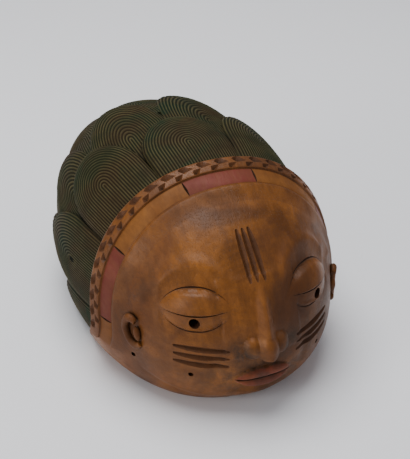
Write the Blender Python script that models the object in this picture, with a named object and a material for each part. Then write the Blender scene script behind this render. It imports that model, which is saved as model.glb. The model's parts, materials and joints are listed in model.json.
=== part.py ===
"""Gelede mask: a helmet mask carved from one piece of light wood, resting on its open rim.

The face looks along -Y, +X is the mask's left side, +Z is up and the rim lies on z = 0.
Driving dimensions are in millimetres and angles in degrees; the mesh itself is in metres.
"""
import math

import bmesh
import bpy
from mathutils import Matrix, Vector

MM = 0.001
MERGE = 1e-6
SHARP_ANGLE = 35.0

# Egg-shaped dome, measured from a seat point above the rim
SEAT_HEIGHT = 52.0
SEAT_BACK = 12.0
HALF_WIDTH = 107.0
FACE_REACH = 168.0
DOME_RISE = 117.0
RIM_TUCK = 92.0
DOME_POWER = 2.2
DOME_SEGMENTS = 56
DOME_RINGS = 34

# Hair bed behind the band, under the locks
BED_HALF_WIDTH = 97.0
BED_FRONT = 165.0
BED_BACK = 151.5
BED_RISE = 110.0
BED_TUCK = 88.0
BED_POWER = 2.12
BED_RAMP = 12.0

# Hollow, and the block that trims the rim flat
TRIM_SPAN = 500.0
TRIM_DEPTH = 200.0
HOLLOW_HALF_WIDTH = 84.0
HOLLOW_FRONT = 153.0
HOLLOW_BACK = 137.0
HOLLOW_RISE = 97.0
HOLLOW_TUCK = 104.0
HOLLOW_SEGMENTS = 32
HOLLOW_RINGS = 20

# Band over the head: distance of its face edge from the seat axis, and how it bends
BAND_PLACE = -99.5
BAND_LEAN = 0.07
BAND_BOW = 2.7
BOW_SPAN = 100.0
BAND_SWEEP = 52.0
BAND_SWEEP_BELOW = 55.0
SWEEP_LIMIT = 1.3
SEARCH_SPAN = 80.0
SEARCH_STEPS = 26
BAND_PANEL = 14.5
BAND_WIDTH = 26.0
BAND_SHOULDER = 9.0
BAND_LAP = 3.0
BAND_END_ROLL = 101.0
BAND_STATIONS = 46
PANEL_RISE = 1.2
PLAIT_RISE = 3.0
BAND_PROFILE = (
    (-BAND_SHOULDER, -1.5),
    (-5.0, PANEL_RISE),
    (-0.8, 2.2),
    (0.4, PANEL_RISE),
    (BAND_PANEL - 1.0, PANEL_RISE),
    (BAND_PANEL + 0.3, PLAIT_RISE),
    (BAND_WIDTH - 1.5, PLAIT_RISE),
    (BAND_WIDTH, 1.4),
)
PANEL_SPLITS = (15.0, 52.0, 86.0)
SPLIT_WIDTH = 1.6
SPLIT_DEPTH = 2.2

# How far laid-on carving reaches under the skin, and how far its edge sits below it
PATCH_ROOT = 8.0
PATCH_SEAT = 0.6

# Plait beside the hair: two rows of chip-cut notches, each row by its offset, length, width and slant
NOTCH_PITCH = 7.4
NOTCH_DEPTH = 3.2
NOTCH_ROWS = (
    (17.2, 10.0, 5.6, 30.0),
    (21.8, 14.5, 6.4, -14.0),
)
NOTCH_END_ROLL = 95.0

# Hair: rings of tongue-shaped locks that run towards a whorl on the back, the front ring fanned out
LOCK_CENTRE = 2.5
LOCK_RISE = 10.5
LOCK_ROOT = -5.0
LOCK_OVERLAP = 1.04
LOCK_CORE = 0.38
LOCK_SWELL = (0.28, 1.0)
FRONT_FAN = 0.12
HAIR_LAP = 4.0
LEAST_LOCK_HEIGHT = 4.0
FRONT_REACHES = (7.0, 18.0, 28.0, 30.0)
RING_STARTS = (None, -22.0, 18.0, 48.0)
RING_REACHES = (None, 45.0, 68.0, 88.0)
RING_BASE_RISES = (0.8, 0.12, 0.16, 0.16)
RING_COUNTS = (10, 10, 10, 6)
CORE_RINGS = (0.0, 0.4, 0.72, 0.92, 1.0)
CORE_HEIGHTS = (1.0, 0.95, 0.84, 0.6, 0.04)
LOCK_STEPS = 12
WHORL_SPAN = 17.0
WHORL_RISE = 5.6
WHORL_HEIGHTS = (1.0, 0.97, 0.86, 0.08)
WHORL_RINGS = 3
WHORL_STEPS = 20

# Face on even thirds from the band to the rim
EYE_RISE = 15.0
EYE_TURN = 18.0
EYE_HALF = 10.0
EYE_OPEN = 5.6
EYE_SWELL = 5.0
EYE_ROUND = 0.8
EYE_POINT = (2.4, 0.85)
LID_STEP = 1.8
LID_EDGE = -0.1
LID_GAP = 0.04
EYE_COLUMNS = 10
EYE_ROWS = (-1.0, -0.55, LID_EDGE - LID_GAP, LID_EDGE + LID_GAP, 0.35, 0.7, 1.0)
PUPIL_TURN = 18.0
PUPIL_RISE = 13.0
PUPIL_WIDTH = 8.0
NOSE_TOP_RISE = 20.0
NOSE_BASE_RISE = 2.0
NOSE_BRIDGE_HALF = 7.0
NOSE_BASE_HALF = 19.0
NOSE_BRIDGE_OUT = 4.0
NOSE_TIP_OUT = 14.4
NOSE_TIP_DROP = 1.2
NOSE_SLOPE = 1.3
NOSE_FALL = (1.5, 3.0)
NOSE_ROOT_RUN = 0.25
WING_RISE = (0.12, 0.42)
NOSE_COLUMNS = 8
NOSE_ROWS = (0.0, 0.02, 0.1, 0.22, 0.36, 0.6, 0.82, 1.0)
MOUTH_RISE = -5.5
MOUTH_HALF = 8.0
LIP_HEIGHT = 3.6
LIP_OUT = 4.6
LIP_BOW = 0.18
LIP_BOW_WIDTH = 0.22
LIP_EDGE_OUT = 0.25
LIP_TAPER = 0.7
LIP_FULLNESS = 0.6
LIP_COLUMNS = 12
LIP_ROWS = (-1.0, -0.75, -0.4, -0.08, 0.08, 0.4, 0.75, 1.0)

# C-shaped ear, open towards the face
EAR_TURN = 36.0
EAR_RISE = 4.5
EAR_OUT = (1.0, -0.5, -0.05)
EAR_UP = (0.0, 0.25, 1.0)
EAR_RADIUS = 10.5
EAR_TUBE = 3.3
EAR_OPEN = 50.0
EAR_SLIM = 0.72
EAR_TALL = 1.15
EAR_LIFT = 0.5
EAR_STATIONS = 12
EAR_SIDES = 8

# Traditional marks
MARK_LENGTH = 50.0
CHEEK_MARK_LENGTH = 48.0
MARK_WIDTH = 4.6
MARK_DEPTH = 4.2
MARK_SINK = 0.6
MARK_SPAN = 7.5
FOREHEAD_MARK_RISE = 28.0
FOREHEAD_MARK_STEP = 2.15
CHEEK_MARK_TURN = 16.5
CHEEK_MARK_RISES = (4.0, 1.6, -0.8)

# Small pierced holes for tying a costume, as turn and rise from the face axis
HOLE_SIDES = 8
HOLE_RUN = 52.0
HOLE_SINK = 6.5
TIE_HOLE_WIDTH = 4.0
TIE_HOLES = ((19.0, -4.5), (36.5, -5.0), (118.0, -17.0), (156.0, -17.0))

WOOD = (0.42, 0.22, 0.085, 1.0)


def remove_everything():
    """Start from an empty scene."""
    for thing in list(bpy.data.objects):
        bpy.data.objects.remove(thing, do_unlink=True)


def new_collection(name):
    """Make a collection in the scene."""
    group = bpy.data.collections.new(name)
    bpy.context.scene.collection.children.link(group)
    return group


def wood():
    """Smoothed, worn light wood."""
    material = bpy.data.materials.new("carved_wood")
    material.use_nodes = True
    shader = material.node_tree.nodes["Principled BSDF"]
    shader.inputs["Base Color"].default_value = WOOD
    shader.inputs["Roughness"].default_value = 0.5
    shader.inputs["Metallic"].default_value = 0.0
    return material


def smoothstep(value):
    """Ease from 0 to 1."""
    value = min(max(value, 0.0), 1.0)
    return value * value * (3.0 - 2.0 * value)


def egg_radius(way, half_width, front, back, rise, tuck, power):
    """Distance from the seat point to an egg shape, along a unit direction."""
    reach = front if way.y < 0.0 else back
    height = rise if way.z > 0.0 else tuck
    terms = (way.x / half_width, way.y / reach, way.z / height)
    return sum(abs(term) ** power for term in terms) ** (-1.0 / power)


def dome_radius(way):
    """The smooth dome that carries the face and the band."""
    return egg_radius(way, HALF_WIDTH, FACE_REACH, BED_BACK, DOME_RISE, RIM_TUCK, DOME_POWER)


def bed_radius(way):
    """The rounder bed under the hair."""
    return egg_radius(way, BED_HALF_WIDTH, BED_FRONT, BED_BACK, BED_RISE, BED_TUCK, BED_POWER)


def at(way, radius):
    """Place a point along a direction from the seat point."""
    return Vector((0.0, SEAT_BACK, SEAT_HEIGHT)) + way * radius


def band_line(point):
    """Y of the band's face edge beside a point, which sweeps back towards the rim."""
    below = max(0.0, (BAND_SWEEP_BELOW - point.z) / BAND_SWEEP_BELOW)
    line = SEAT_BACK + BAND_PLACE + BAND_LEAN * point.z + BAND_BOW * (point.x / BOW_SPAN) ** 2
    return line + BAND_SWEEP * min(below, SWEEP_LIMIT) ** 2


def body_radius(way):
    """Dome in front of the band's hair edge, hair bed behind it."""
    dome = dome_radius(way)
    point = at(way, dome)
    back = smoothstep((point.y - band_line(point) - BAND_WIDTH + BAND_LAP) / BED_RAMP)
    return dome + (bed_radius(way) - dome) * back


def hollow_radius(way):
    """Rounded space for the wearer's head."""
    return egg_radius(
        way, HOLLOW_HALF_WIDTH, HOLLOW_FRONT, HOLLOW_BACK, HOLLOW_RISE, HOLLOW_TUCK, BED_POWER)


def face_way(turn, rise):
    """Direction by turn from the face axis (towards +X) and rise above the seat."""
    turn = math.radians(turn)
    rise = math.radians(rise)
    return Vector((math.sin(turn) * math.cos(rise), -math.cos(turn) * math.cos(rise), math.sin(rise)))


def roll_way(roll, back):
    """Direction by roll round the Y axis (towards -X) and angle back from the seat's cross plane."""
    roll = math.radians(roll)
    back = math.radians(back)
    return Vector((-math.sin(roll) * math.cos(back), math.sin(back), math.cos(roll) * math.cos(back)))


def solve_back(roll, offset):
    """Angle back at which the dome crosses the band's line plus an offset."""
    low, high = -SEARCH_SPAN, SEARCH_SPAN
    for _ in range(SEARCH_STEPS):
        middle = 0.5 * (low + high)
        way = roll_way(roll, middle)
        point = at(way, dome_radius(way))
        if point.y - band_line(point) < offset:
            low = middle
        else:
            high = middle
    return 0.5 * (low + high)


def object_from(name, mesh_maker, collection, helper=True):
    """Wrap a bmesh as an object; helpers are left out of renders."""
    bm = bmesh.new()
    mesh_maker(bm)
    bmesh.ops.recalc_face_normals(bm, faces=bm.faces)
    mesh = bpy.data.meshes.new(name)
    bm.to_mesh(mesh)
    bm.free()
    mesh.shade_smooth()
    mesh.set_sharp_from_angle(angle=math.radians(SHARP_ANGLE))
    thing = bpy.data.objects.new(name, mesh)
    collection.objects.link(thing)
    if helper:
        thing.hide_render = True
        thing.display_type = "WIRE"
    return thing


def shaped_sphere(bm, segments, rings, radius_at):
    """A sphere whose points move out along their own rays to a radius rule."""
    bmesh.ops.create_uvsphere(bm, u_segments=segments, v_segments=rings, radius=1.0)
    for vert in bm.verts:
        way = vert.co.normalized()
        vert.co = at(way, radius_at(way)) * MM


def body_mesh(bm):
    """Dome and hair bed in one skin."""
    shaped_sphere(bm, DOME_SEGMENTS, DOME_RINGS, body_radius)


def hollow_mesh(bm):
    """Space for the wearer's head, open below."""
    shaped_sphere(bm, HOLLOW_SEGMENTS, HOLLOW_RINGS, hollow_radius)


def below_rim_mesh(bm):
    """Block that trims the rim flat."""
    bmesh.ops.create_cube(bm, size=1.0)
    size = Vector((TRIM_SPAN, TRIM_SPAN, TRIM_DEPTH)) * MM
    bmesh.ops.scale(bm, vec=size, verts=bm.verts)
    bmesh.ops.translate(bm, vec=(0.0, 0.0, -0.5 * TRIM_DEPTH * MM), verts=bm.verts)


def thick_patch(bm, columns, rows, place):
    """A grid laid on the form by place(u, v, layer), with a lower layer that closes it."""
    u_layer = bm.verts.layers.float.new("u")
    v_layer = bm.verts.layers.float.new("v")
    bmesh.ops.create_grid(bm, x_segments=columns, y_segments=rows, size=0.5)
    for vert in bm.verts:
        vert[u_layer] = vert.co.x + 0.5
        vert[v_layer] = vert.co.y + 0.5
        vert.co = place(vert[u_layer], vert[v_layer], 0) * MM
    bmesh.ops.remove_doubles(bm, verts=bm.verts, dist=MERGE)
    lower = bmesh.ops.extrude_face_region(bm, geom=list(bm.faces), use_keep_orig=True)
    for vert in lower["geom"]:
        if isinstance(vert, bmesh.types.BMVert):
            vert.co = place(vert[u_layer], vert[v_layer], 1) * MM


def band_mesh(bm):
    """Raised arch from rim to rim: soft shoulder, sunk panel, plait and edge ridge."""
    last = len(BAND_PROFILE) - 1

    def place(u, v, layer):
        roll = BAND_END_ROLL * (2.0 * u - 1.0)
        offset, height = BAND_PROFILE[round(v * last)]
        way = roll_way(roll, solve_back(roll, offset))
        return at(way, dome_radius(way) + (height if layer == 0 else -PATCH_ROOT))

    thick_patch(bm, BAND_STATIONS, last, place)


def band_frame(roll, offset, lift):
    """Point on the band with its outward, along and across directions."""
    def spot(roll_here, offset_here):
        way = roll_way(roll_here, solve_back(roll_here, offset_here))
        return at(way, dome_radius(way))

    here = spot(roll, offset)
    along = (spot(roll + 1.0, offset) - spot(roll - 1.0, offset)).normalized()
    across = (spot(roll, offset + 1.0) - spot(roll, offset - 1.0)).normalized()
    out = across.cross(along).normalized()
    if out.dot(roll_way(roll, 0.0)) < 0.0:
        out = -out
    return here + out * lift, out, along


def spindle(bm, centre, out, along, length, width, depth):
    """Four-sided double point laid in a surface, for one chip-cut mark."""
    made = bmesh.ops.create_uvsphere(bm, u_segments=4, v_segments=2, radius=0.5)
    side = out.cross(along).normalized()
    turn = Matrix((side * width, out * depth * 2.0, along * length)).transposed().to_4x4()
    move = Matrix.Translation(centre) @ turn
    bmesh.ops.transform(bm, matrix=Matrix.Scale(MM, 4) @ move, verts=made["verts"])


def splits_mesh(bm):
    """Cuts across the band between its panels."""
    for side in (-1.0, 1.0):
        for roll in PANEL_SPLITS:
            low, out, along = band_frame(side * roll, 0.0, PANEL_RISE)
            high, _, _ = band_frame(side * roll, BAND_PANEL, PANEL_RISE)
            made = bmesh.ops.create_cube(bm, size=1.0)
            turn = Matrix((high - low, along * SPLIT_WIDTH, out * SPLIT_DEPTH)).transposed().to_4x4()
            move = Matrix.Translation((low + high) * 0.5) @ turn
            bmesh.ops.transform(bm, matrix=Matrix.Scale(MM, 4) @ move, verts=made["verts"])


def notches_mesh(bm):
    """Two staggered rows of slanted notches that leave a zigzag plait."""
    count = int(NOTCH_END_ROLL // NOTCH_PITCH)
    for row, (offset, length, width, slant) in enumerate(NOTCH_ROWS):
        for index in range(-count, count + 1):
            here, out, along = band_frame((index + 0.5 * row) * NOTCH_PITCH, offset, PLAIT_RISE)
            along = Matrix.Rotation(math.radians(slant), 3, out) @ along
            spindle(bm, here, out, along, length, width, NOTCH_DEPTH)


def lock_mesh(bm, ring, centre, half_angle, reach):
    """One tongue-shaped lock: straight sides from its base, a round far end, a pillowed top."""
    last = len(CORE_RINGS) - 1

    def place(u, v, layer):
        nested = CORE_RINGS[round(u * last)]
        height = CORE_HEIGHTS[round(u * last)]
        swing = 2.0 * v - 1.0
        if abs(swing) > 1.0 - LOCK_CORE:
            across = math.copysign(nested, swing)
            along = 1.0 - abs(swing)
        else:
            angle = swing / (1.0 - LOCK_CORE) * 0.5 * math.pi
            across = nested * math.sin(angle)
            along = LOCK_CORE + nested * (1.0 - LOCK_CORE) * math.cos(angle)
        roll = centre + across * half_angle * LOCK_OVERLAP
        if ring == 0:
            start = solve_back(roll, BAND_WIDTH - HAIR_LAP)
            roll += centre * FRONT_FAN * along
        else:
            start = RING_STARTS[ring]
        way = roll_way(roll, start + along * (reach - start))
        base = RING_BASE_RISES[ring]
        low, high = LOCK_SWELL
        swell = base + (1.0 - base) * smoothstep((along - low) / (high - low))
        lift = LOCK_ROOT if layer else LOCK_RISE * swell * height
        return at(way, bed_radius(way) + lift)

    thick_patch(bm, last, LOCK_STEPS, place)


def whorl_mesh(bm):
    """Round knot where the last ring of locks meets."""
    def place(u, v, layer):
        way = roll_way(360.0 * v, 90.0 - WHORL_SPAN * u)
        lift = LOCK_ROOT if layer else WHORL_RISE * WHORL_HEIGHTS[round(u * WHORL_RINGS)]
        return at(way, bed_radius(way) + lift)

    thick_patch(bm, WHORL_RINGS, WHORL_STEPS, place)


def lock_places():
    """Ring number, roll, half angle and far reach of each lock that shows above the rim."""
    for ring, count in enumerate(RING_COUNTS):
        step = 360.0 / count
        for index in range(-(count // 2), count - count // 2):
            roll = LOCK_CENTRE + (index + 0.5 * (ring % 2)) * step
            if ring == 0:
                if abs(index) >= len(FRONT_REACHES):
                    continue
                reach = FRONT_REACHES[abs(index)]
            else:
                reach = RING_REACHES[ring]
            way = roll_way(roll, reach)
            if at(way, bed_radius(way)).z > LEAST_LOCK_HEIGHT:
                yield ring, roll, 0.5 * step, reach


def eye_mesh(bm, side):
    """Almond swelling of the eye, with a heavy upper lid that steps out over it."""
    last = len(EYE_ROWS) - 1
    point, fullness = EYE_POINT

    def place(u, v, layer):
        along = 2.0 * u - 1.0
        up = EYE_ROWS[round(v * last)]
        half = EYE_OPEN * (1.0 - abs(along) ** point) ** fullness
        way = face_way(side * (EYE_TURN + along * EYE_HALF), EYE_RISE + up * half)
        lid = LID_STEP if 1.0 > up > LID_EDGE else 0.0
        swell = (1.0 - along * along) * (EYE_SWELL * (1.0 - EYE_ROUND * up * up) + lid)
        return at(way, dome_radius(way) + (-PATCH_ROOT if layer else swell - PATCH_SEAT))

    thick_patch(bm, EYE_COLUMNS, last, place)


def nose_mesh(bm):
    """Straight ridge that widens and rises to the tip and wings."""
    last = len(NOSE_ROWS) - 1
    low, high = WING_RISE

    def place(u, v, layer):
        across = 2.0 * u - 1.0
        up = NOSE_ROWS[round(v * last)]
        wings = 1.0 - smoothstep((up - low) / (high - low))
        half = NOSE_BRIDGE_HALF + (NOSE_BASE_HALF - NOSE_BRIDGE_HALF) * wings
        ridge = NOSE_BRIDGE_OUT + (NOSE_TIP_OUT - NOSE_BRIDGE_OUT) * (1.0 - up) ** NOSE_SLOPE
        fall = 1.0 - abs(across) ** (NOSE_FALL[0] + (NOSE_FALL[1] - NOSE_FALL[0]) * wings)
        root = smoothstep((1.0 - up) / NOSE_ROOT_RUN) if up > 0.0 else 0.0
        drop = NOSE_TIP_DROP * (1.0 - abs(across)) * (1.0 - up)
        way = face_way(0.0, NOSE_BASE_RISE + (NOSE_TOP_RISE - NOSE_BASE_RISE) * up - drop)
        lift = -PATCH_ROOT if layer else ridge * fall * root - PATCH_SEAT
        return at(way, dome_radius(way) + lift) + Vector((across * half, 0.0, 0.0))

    thick_patch(bm, NOSE_COLUMNS, last, place)


def lips_mesh(bm):
    """Full closed lips with a shallow bow."""
    last = len(LIP_ROWS) - 1

    def place(u, v, layer):
        across = 2.0 * u - 1.0
        up = LIP_ROWS[round(v * last)]
        half = LIP_HEIGHT * (1.0 - across * across) ** LIP_TAPER
        bow = 1.0 - LIP_BOW * math.exp(-((across / LIP_BOW_WIDTH) ** 2)) if up > 0.0 else 1.0
        way = face_way(across * MOUTH_HALF, MOUTH_RISE + up * half * bow)
        lift = 0.0
        if abs(up) < 1.0:
            fold = math.sin(math.pi * abs(up)) ** LIP_FULLNESS
            lift = LIP_OUT * (1.0 - across ** 4) * (LIP_EDGE_OUT + (1.0 - LIP_EDGE_OUT) * fold)
        return at(way, dome_radius(way) + (-PATCH_ROOT if layer else lift - PATCH_SEAT))

    thick_patch(bm, LIP_COLUMNS, last, place)


def ear_mesh(bm, side):
    """C-shaped ear: most of a ring of tube laid on the side of the head."""
    way = face_way(side * EAR_TURN, EAR_RISE)
    centre = at(way, dome_radius(way) + EAR_LIFT)
    out = Vector((side * EAR_OUT[0], EAR_OUT[1], EAR_OUT[2])).normalized()
    up = Vector(EAR_UP)
    forward = out.cross(up).normalized() * side
    up = forward.cross(out).normalized() * side

    def place(u, v):
        angle = math.radians(EAR_OPEN + (360.0 - 2.0 * EAR_OPEN) * u)
        around = 2.0 * math.pi * v
        spread = EAR_RADIUS + EAR_TUBE * math.cos(around)
        flat = forward * (math.cos(angle) * EAR_SLIM) + up * (math.sin(angle) * EAR_TALL)
        return centre + flat * spread + out * (EAR_TUBE * math.sin(around))

    bmesh.ops.create_grid(bm, x_segments=EAR_STATIONS, y_segments=EAR_SIDES, size=0.5)
    for vert in bm.verts:
        vert.co = place(vert.co.x + 0.5, vert.co.y + 0.5) * MM
    bmesh.ops.remove_doubles(bm, verts=bm.verts, dist=MERGE)
    bmesh.ops.holes_fill(bm, edges=bm.edges)


def mark(bm, turn, rise, turn_span, rise_span, side, length):
    """One long cut in the skin, between two places either side of its middle."""
    def skin(turn_here, rise_here, sink=0.0):
        way = face_way(turn_here, rise_here)
        return at(way, dome_radius(way) - sink)

    low = skin(turn - turn_span, rise - rise_span)
    high = skin(turn + turn_span, rise + rise_span)
    along = (high - low).normalized()
    out = along.cross(side).normalized()
    if out.dot(face_way(turn, rise)) < 0.0:
        out = -out
    spindle(bm, skin(turn, rise, MARK_SINK), out, along, length, MARK_WIDTH, MARK_DEPTH)


def marks_mesh(bm):
    """Traditional marks: three upright cuts on the forehead, three level ones on each cheek."""
    across = Vector((1.0, 0.0, 0.0))
    upright = Vector((0.0, 0.0, 1.0))
    for step in (-1, 0, 1):
        turn = step * FOREHEAD_MARK_STEP
        mark(bm, turn, FOREHEAD_MARK_RISE, 0.0, MARK_SPAN, across, MARK_LENGTH)
    for side in (-1.0, 1.0):
        for rise in CHEEK_MARK_RISES:
            mark(bm, side * CHEEK_MARK_TURN, rise, MARK_SPAN, 0.0, upright, CHEEK_MARK_LENGTH)


def hole_mesh(bm, turn, rise, width):
    """A round hole straight through the wall towards the seat axis."""
    way = face_way(turn, rise)
    made = bmesh.ops.create_cone(
        bm, cap_ends=True, segments=HOLE_SIDES,
        radius1=0.5 * width, radius2=0.5 * width, depth=HOLE_RUN)
    level = Vector((way.x, way.y, 0.0)).normalized()
    turned = level.to_track_quat("Z", "Y").to_matrix().to_4x4()
    move = Matrix.Translation(at(way, dome_radius(way) - HOLE_SINK)) @ turned
    bmesh.ops.transform(bm, matrix=Matrix.Scale(MM, 4) @ move, verts=made["verts"])


def holes_mesh(bm):
    """Pierced pupils and tie holes."""
    for side in (-1.0, 1.0):
        hole_mesh(bm, side * PUPIL_TURN, PUPIL_RISE, PUPIL_WIDTH)
        for turn, rise in TIE_HOLES:
            hole_mesh(bm, side * turn, rise, TIE_HOLE_WIDTH)


def join_with(thing, name, operation, solver, collection):
    """Union with, or cut by, every object of a collection."""
    modifier = thing.modifiers.new(name, "BOOLEAN")
    modifier.operation = operation
    modifier.solver = solver
    modifier.operand_type = "COLLECTION"
    modifier.collection = collection


def build():
    """Make the mask."""
    remove_everything()
    parts = new_collection("gelede_mask")
    raised = new_collection("raised_carving")
    cuts = new_collection("cutters")

    mask = object_from("mask", body_mesh, parts, helper=False)
    mask.data.materials.append(wood())

    object_from("band", band_mesh, raised)
    for ring, roll, half_angle, reach in lock_places():
        object_from("lock", lambda bm: lock_mesh(bm, ring, roll, half_angle, reach), raised)
    object_from("whorl", whorl_mesh, raised)
    for side in (-1.0, 1.0):
        object_from("eye", lambda bm: eye_mesh(bm, side), raised)
        object_from("ear", lambda bm: ear_mesh(bm, side), raised)
    object_from("nose", nose_mesh, raised)
    object_from("lips", lips_mesh, raised)

    object_from("hollow", hollow_mesh, cuts)
    object_from("below_rim", below_rim_mesh, cuts)
    object_from("panel_splits", splits_mesh, cuts)
    object_from("plait_notches", notches_mesh, cuts)
    object_from("marks", marks_mesh, cuts)
    object_from("holes", holes_mesh, cuts)

    join_with(mask, "raised carving", "UNION", "EXACT", raised)
    join_with(mask, "cuts", "DIFFERENCE", "MANIFOLD", cuts)


build()
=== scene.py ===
"""Looks of the gelede mask: light wood with a warm patina, green hair worn to the wood, a red and ochre band."""
import json
import math

import bmesh
import bpy
from mathutils import Matrix, Vector
from mathutils.bvhtree import BVHTree

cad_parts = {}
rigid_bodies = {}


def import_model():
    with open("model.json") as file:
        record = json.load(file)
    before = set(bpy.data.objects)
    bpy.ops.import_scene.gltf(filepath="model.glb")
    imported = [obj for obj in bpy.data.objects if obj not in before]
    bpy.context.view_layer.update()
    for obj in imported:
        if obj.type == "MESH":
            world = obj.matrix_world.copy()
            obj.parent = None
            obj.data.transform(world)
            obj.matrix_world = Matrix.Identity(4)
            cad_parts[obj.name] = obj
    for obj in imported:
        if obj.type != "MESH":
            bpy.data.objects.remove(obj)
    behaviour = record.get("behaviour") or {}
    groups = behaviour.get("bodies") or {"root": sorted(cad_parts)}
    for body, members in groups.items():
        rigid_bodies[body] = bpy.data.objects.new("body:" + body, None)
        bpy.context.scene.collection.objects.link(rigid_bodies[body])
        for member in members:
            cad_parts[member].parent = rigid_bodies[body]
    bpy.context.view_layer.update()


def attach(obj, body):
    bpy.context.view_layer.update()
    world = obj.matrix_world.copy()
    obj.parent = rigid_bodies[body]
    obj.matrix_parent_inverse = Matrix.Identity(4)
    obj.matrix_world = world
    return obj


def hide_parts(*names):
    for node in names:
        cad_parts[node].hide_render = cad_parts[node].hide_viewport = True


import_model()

MM = 0.001
MERGE = 1e-6

# The mask's form, in millimetres and degrees, as in the part's source
SEAT_HEIGHT = 52.0
SEAT_BACK = 12.0
HALF_WIDTH = 107.0
FACE_REACH = 168.0
DOME_RISE = 117.0
RIM_TUCK = 92.0
DOME_POWER = 2.2
BED_HALF_WIDTH = 97.0
BED_FRONT = 165.0
BED_BACK = 151.5
BED_RISE = 110.0
BED_TUCK = 88.0
BED_POWER = 2.12
BED_RAMP = 12.0
HOLLOW_HALF_WIDTH = 84.0
HOLLOW_FRONT = 153.0
HOLLOW_BACK = 137.0
HOLLOW_RISE = 97.0
HOLLOW_TUCK = 104.0
BAND_PLACE = -99.5
BAND_LEAN = 0.07
BAND_BOW = 2.7
BOW_SPAN = 100.0
BAND_SWEEP = 52.0
BAND_SWEEP_BELOW = 55.0
SWEEP_LIMIT = 1.3
BAND_PANEL = 14.5
BAND_WIDTH = 26.0
BAND_LAP = 3.0
BAND_END_ROLL = 101.0
PANEL_RISE = 1.2
PLAIT_RISE = 3.0
PANEL_SPLITS = (15.0, 52.0, 86.0)
PATCH_ROOT = 8.0
NOTCH_PITCH = 7.4
NOTCH_ROWS = (
    (17.2, 10.0, 6.0, 30.0),
    (21.8, 14.5, 7.0, -14.0),
)
NOTCH_END_ROLL = 95.0
LOCK_CENTRE = 2.5
LOCK_RISE = 9.5
LOCK_OVERLAP = 1.04
LOCK_CORE = 0.38
LOCK_SWELL = (0.28, 1.0)
FRONT_FAN = 0.12
LOCK_CROWN = 0.3
LOCK_EDGE = 12.0
WHORL_SPAN = 17.0
WHORL_RISE = 5.4
HAIR_LAP = 4.0
HAIR_FOOT = 40.0
HAIR_BACK = 40.0
LEAST_LOCK_HEIGHT = 4.0
FRONT_REACHES = (7.0, 18.0, 28.0, 30.0)
RING_STARTS = (None, -22.0, 18.0, 48.0)
RING_REACHES = (None, 45.0, 68.0, 88.0)
RING_BASE_RISES = (0.8, 0.12, 0.16, 0.16)
RING_COUNTS = (10, 10, 10, 6)
EYE_RISE = 15.0
EYE_TURN = 18.0
EYE_HALF = 10.0
EYE_OPEN = 5.6
EYE_SWELL = 5.0
EYE_ROUND = 0.8
EYE_POINT = (2.4, 0.85)
LID_STEP = 1.8
LID_EDGE = -0.1
SOCKET_DEPTH = 1.7
PUPIL_TURN = 18.0
PUPIL_RISE = 13.0
PUPIL_WIDTH = 8.0
NOSE_TOP_RISE = 20.0
NOSE_BASE_RISE = 2.0
NOSE_BRIDGE_OUT = 4.0
NOSE_TIP_OUT = 12.0
NOSE_SLOPE = 1.3
MOUTH_RISE = -5.5
MOUTH_HALF = 8.0
LIP_HEIGHT = 3.6
LIP_OUT = 4.6
JAW_CHIN = 9.0
JAW_STEP = 1.2
JAW_SOFTNESS = 6.0
JAW_FADE = 22.0
EAR_TURN = 36.0
EAR_RISE = 4.5
EAR_OUT = (1.0, -0.5, -0.05)
EAR_RADIUS = 10.5
EAR_TUBE = 3.3
EAR_OPEN = 50.0
EAR_SLIM = 0.72
EAR_TALL = 1.15
FOREHEAD_MARK_RISE = 28.0
FOREHEAD_MARK_STEP = 2.15
CHEEK_MARK_TURN = 16.5
CHEEK_MARK_RISES = (4.0, 1.6, -0.8)
TIE_HOLE_WIDTH = 4.0
TIE_HOLES = ((19.0, -4.5), (36.5, -5.0), (118.0, -17.0), (156.0, -17.0))

# Fineness of the carving
DOME_COLUMNS = 320
DOME_ROWS = 210
FINE_TURN = 40.0
FINE_RISE = 29.0
FINE_SHARE = 0.6
FACE_MIDDLE_RISE = 7.0
HOLLOW_COLUMNS = 96
HOLLOW_ROWS = 60
COMB_LINES = 16
WHORL_LINES = 12
COMB_DEPTH = 0.5
COMB_SAMPLES = 4
LOCK_ROWS = 26
GROOVE_STATIONS = 40

SEAT = Vector((0.0, SEAT_BACK, SEAT_HEIGHT))


def smoothstep(value):
    """Ease from 0 to 1."""
    value = min(max(value, 0.0), 1.0)
    return value * value * (3.0 - 2.0 * value)


def bell(value, width):
    """Soft bump of height 1."""
    return math.exp(-((value / width) ** 2))


def soft_max(first, second, blend):
    """The larger of two heights, rounded where they meet."""
    near = max(blend - abs(first - second), 0.0) / blend
    return max(first, second) + 0.25 * blend * near * near


def egg_radius(way, half_width, front, back, rise, tuck, power):
    """Distance from the seat point to an egg shape, along a unit direction."""
    reach = front if way.y < 0.0 else back
    height = rise if way.z > 0.0 else tuck
    terms = (way.x / half_width, way.y / reach, way.z / height)
    return sum(abs(term) ** power for term in terms) ** (-1.0 / power)


def dome_radius(way):
    """The smooth dome that carries the face and the band."""
    return egg_radius(way, HALF_WIDTH, FACE_REACH, BED_BACK, DOME_RISE, RIM_TUCK, DOME_POWER)


def bed_radius(way):
    """The rounder bed under the hair."""
    return egg_radius(way, BED_HALF_WIDTH, BED_FRONT, BED_BACK, BED_RISE, BED_TUCK, BED_POWER)


def hollow_radius(way):
    """Rounded space for the wearer's head, with the shallow facets a gouge leaves."""
    radius = egg_radius(
        way, HOLLOW_HALF_WIDTH, HOLLOW_FRONT, HOLLOW_BACK, HOLLOW_RISE, HOLLOW_TUCK, BED_POWER)
    turn = math.atan2(way.x, -way.y)
    rise = math.asin(way.z)
    return radius - 0.7 * abs(math.sin(9.0 * turn + 3.0 * math.sin(5.0 * rise)) * math.sin(8.0 * rise))


def at(way, radius):
    """Place a point along a direction from the seat point."""
    return SEAT + way * radius


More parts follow.
